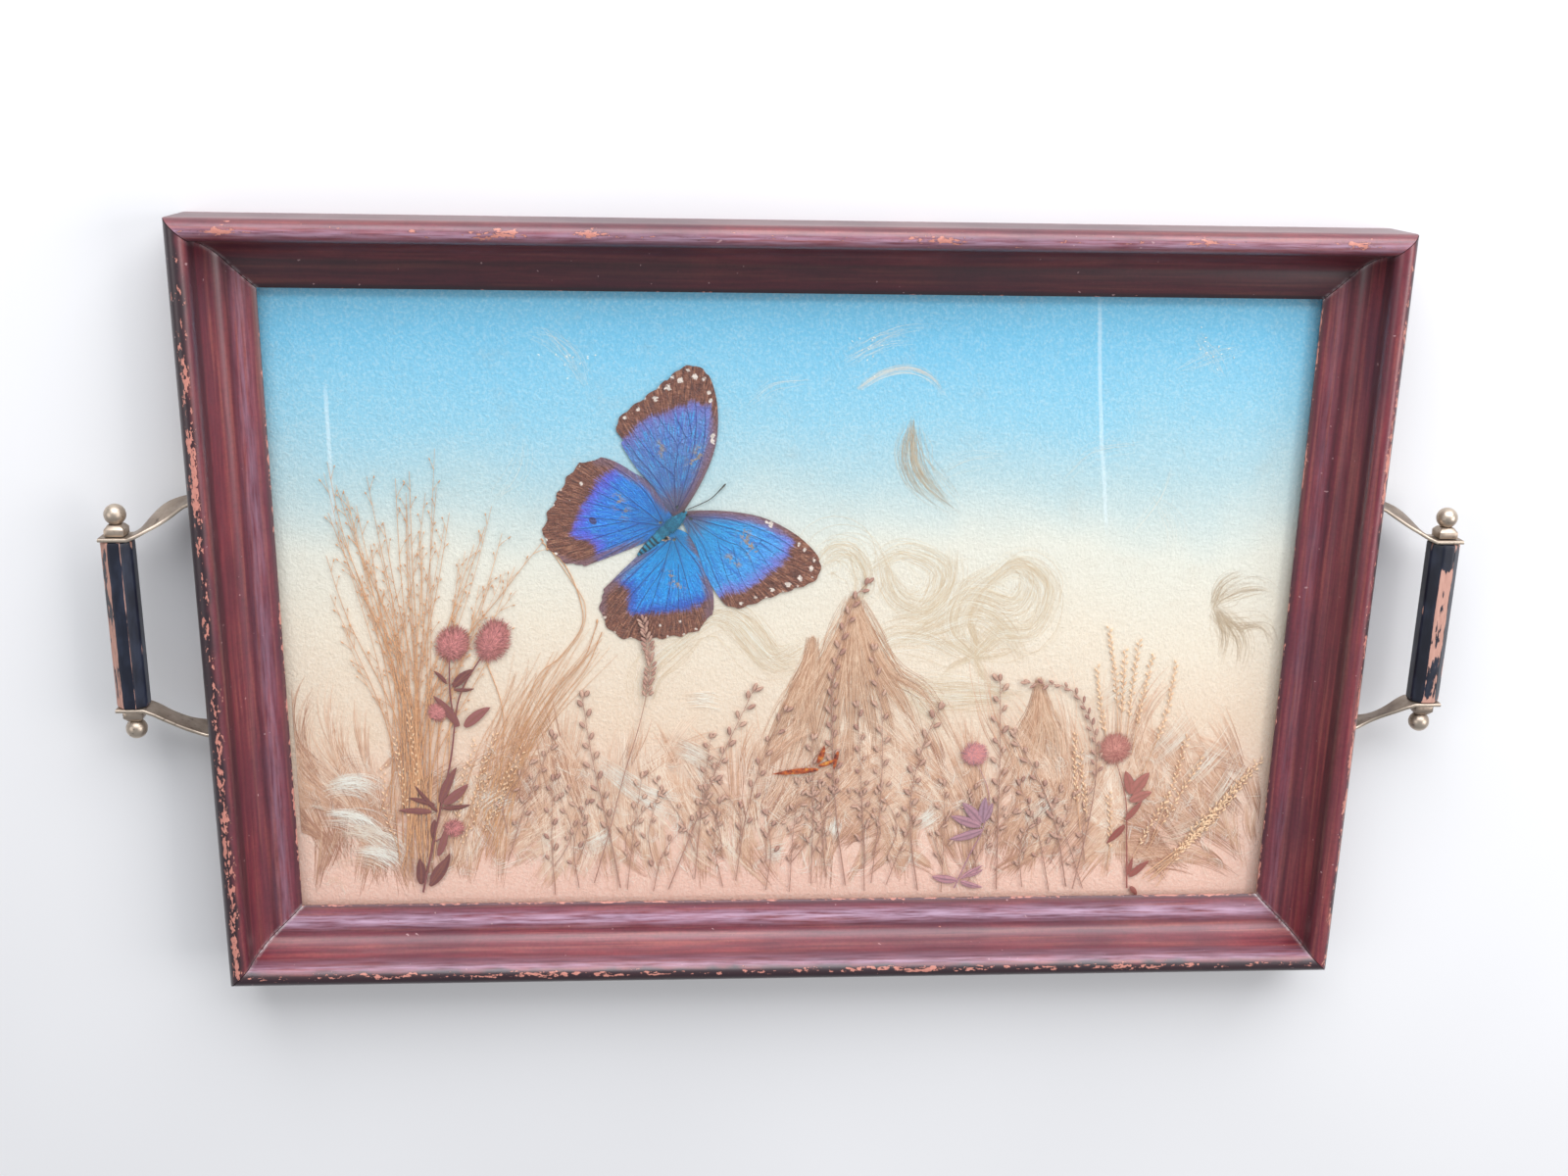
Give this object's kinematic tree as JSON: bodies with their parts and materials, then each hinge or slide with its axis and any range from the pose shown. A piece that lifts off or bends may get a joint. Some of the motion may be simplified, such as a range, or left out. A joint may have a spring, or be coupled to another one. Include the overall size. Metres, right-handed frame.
{
  "type": "framed butterfly specimen",
  "caption": "Butterfly, seed down and dried plants pressed under glass in a mitred wooden tray frame with a brass and wood handle at each end.",
  "frame": {"origin": "centre of the tray's back face, which is the bottom when it lies flat", "axes": "+X along the tray's long side, towards the right-hand handle; +Y towards the picture's upper edge; +Z out of the picture"},
  "size_m": [0.5768, 0.336, 0.034],
  "materials": {
    "frame_wood": "worn dark red gloss lacquer, chipped to pale wood on the outer bead",
    "glass": "clear window glass",
    "paper": "airbrushed backing paper, sky blue to cream to peach, fine canvas grain",
    "board": "plain brown hardboard",
    "steel": "dull steel pins",
    "brass": "aged, dull brown brass with brighter edges",
    "screw_brass": "aged brass screws",
    "grip_wood": "black gloss paint worn through to pale wood on the edges",
    "wing": "iridescent blue scales with a brown border and white spots",
    "insect_body": "dark teal, finely haired",
    "down": "silky seed down, cream to beige",
    "grass": "dry tan grass",
    "seed_stem": "dry brown stems with small seed pods",
    "clover": "pressed clover, dusky pink heads and dark leaves",
    "petal": "translucent amber dry petal"
  },
  "bodies": {
    "root": {"rail_bottom": "frame_wood", "rail_top": "frame_wood", "rail_left": "frame_wood", "rail_right": "frame_wood", "glass_pane": "glass", "backing_paper": "paper", "back_board": "board", "brad_1": "steel", "brad_2": "steel", "brad_3": "steel", "brad_4": "steel", "brad_5": "steel", "brad_6": "steel", "handle_left_grip": "grip_wood", "handle_left_bracket_upper": "brass", "handle_left_finial_upper": "brass", "handle_left_screw_upper_1": "screw_brass", "handle_left_screw_upper_2": "screw_brass", "handle_left_bracket_lower": "brass", "handle_left_finial_lower": "brass", "handle_left_screw_lower_1": "screw_brass", "handle_left_screw_lower_2": "screw_brass", "handle_right_grip": "grip_wood", "handle_right_bracket_upper": "brass", "handle_right_finial_upper": "brass", "handle_right_screw_upper_1": "screw_brass", "handle_right_screw_upper_2": "screw_brass", "handle_right_bracket_lower": "brass", "handle_right_finial_lower": "brass", "handle_right_screw_lower_1": "screw_brass", "handle_right_screw_lower_2": "screw_brass", "butterfly_body": "insect_body", "butterfly_antenna": "insect_body", "wing_fore_upper": "wing", "wing_fore_right": "wing", "wing_hind_left": "wing", "wing_hind_lower": "wing", "down_bed": "down", "down_tent": "down", "down_swirls": "down", "silk_brush": "down", "silk_arc": "down", "silk_tuft_right": "down", "grass_sheaf": "grass", "grass_loop": "grass", "oat_spray": "grass", "gold_panicle": "grass", "seed_stem_by_wing": "seed_stem", "seed_stem_left": "seed_stem", "seed_stem_middle": "seed_stem", "seed_stem_tall": "seed_stem", "seed_stem_forked": "seed_stem", "seed_stem_straight": "seed_stem", "seed_stem_leaning": "seed_stem", "seed_stem_arched": "seed_stem", "clover_left": "clover", "clover_middle": "clover", "clover_right": "clover", "amber_petal": "petal"}
  },
  "joints": []
}
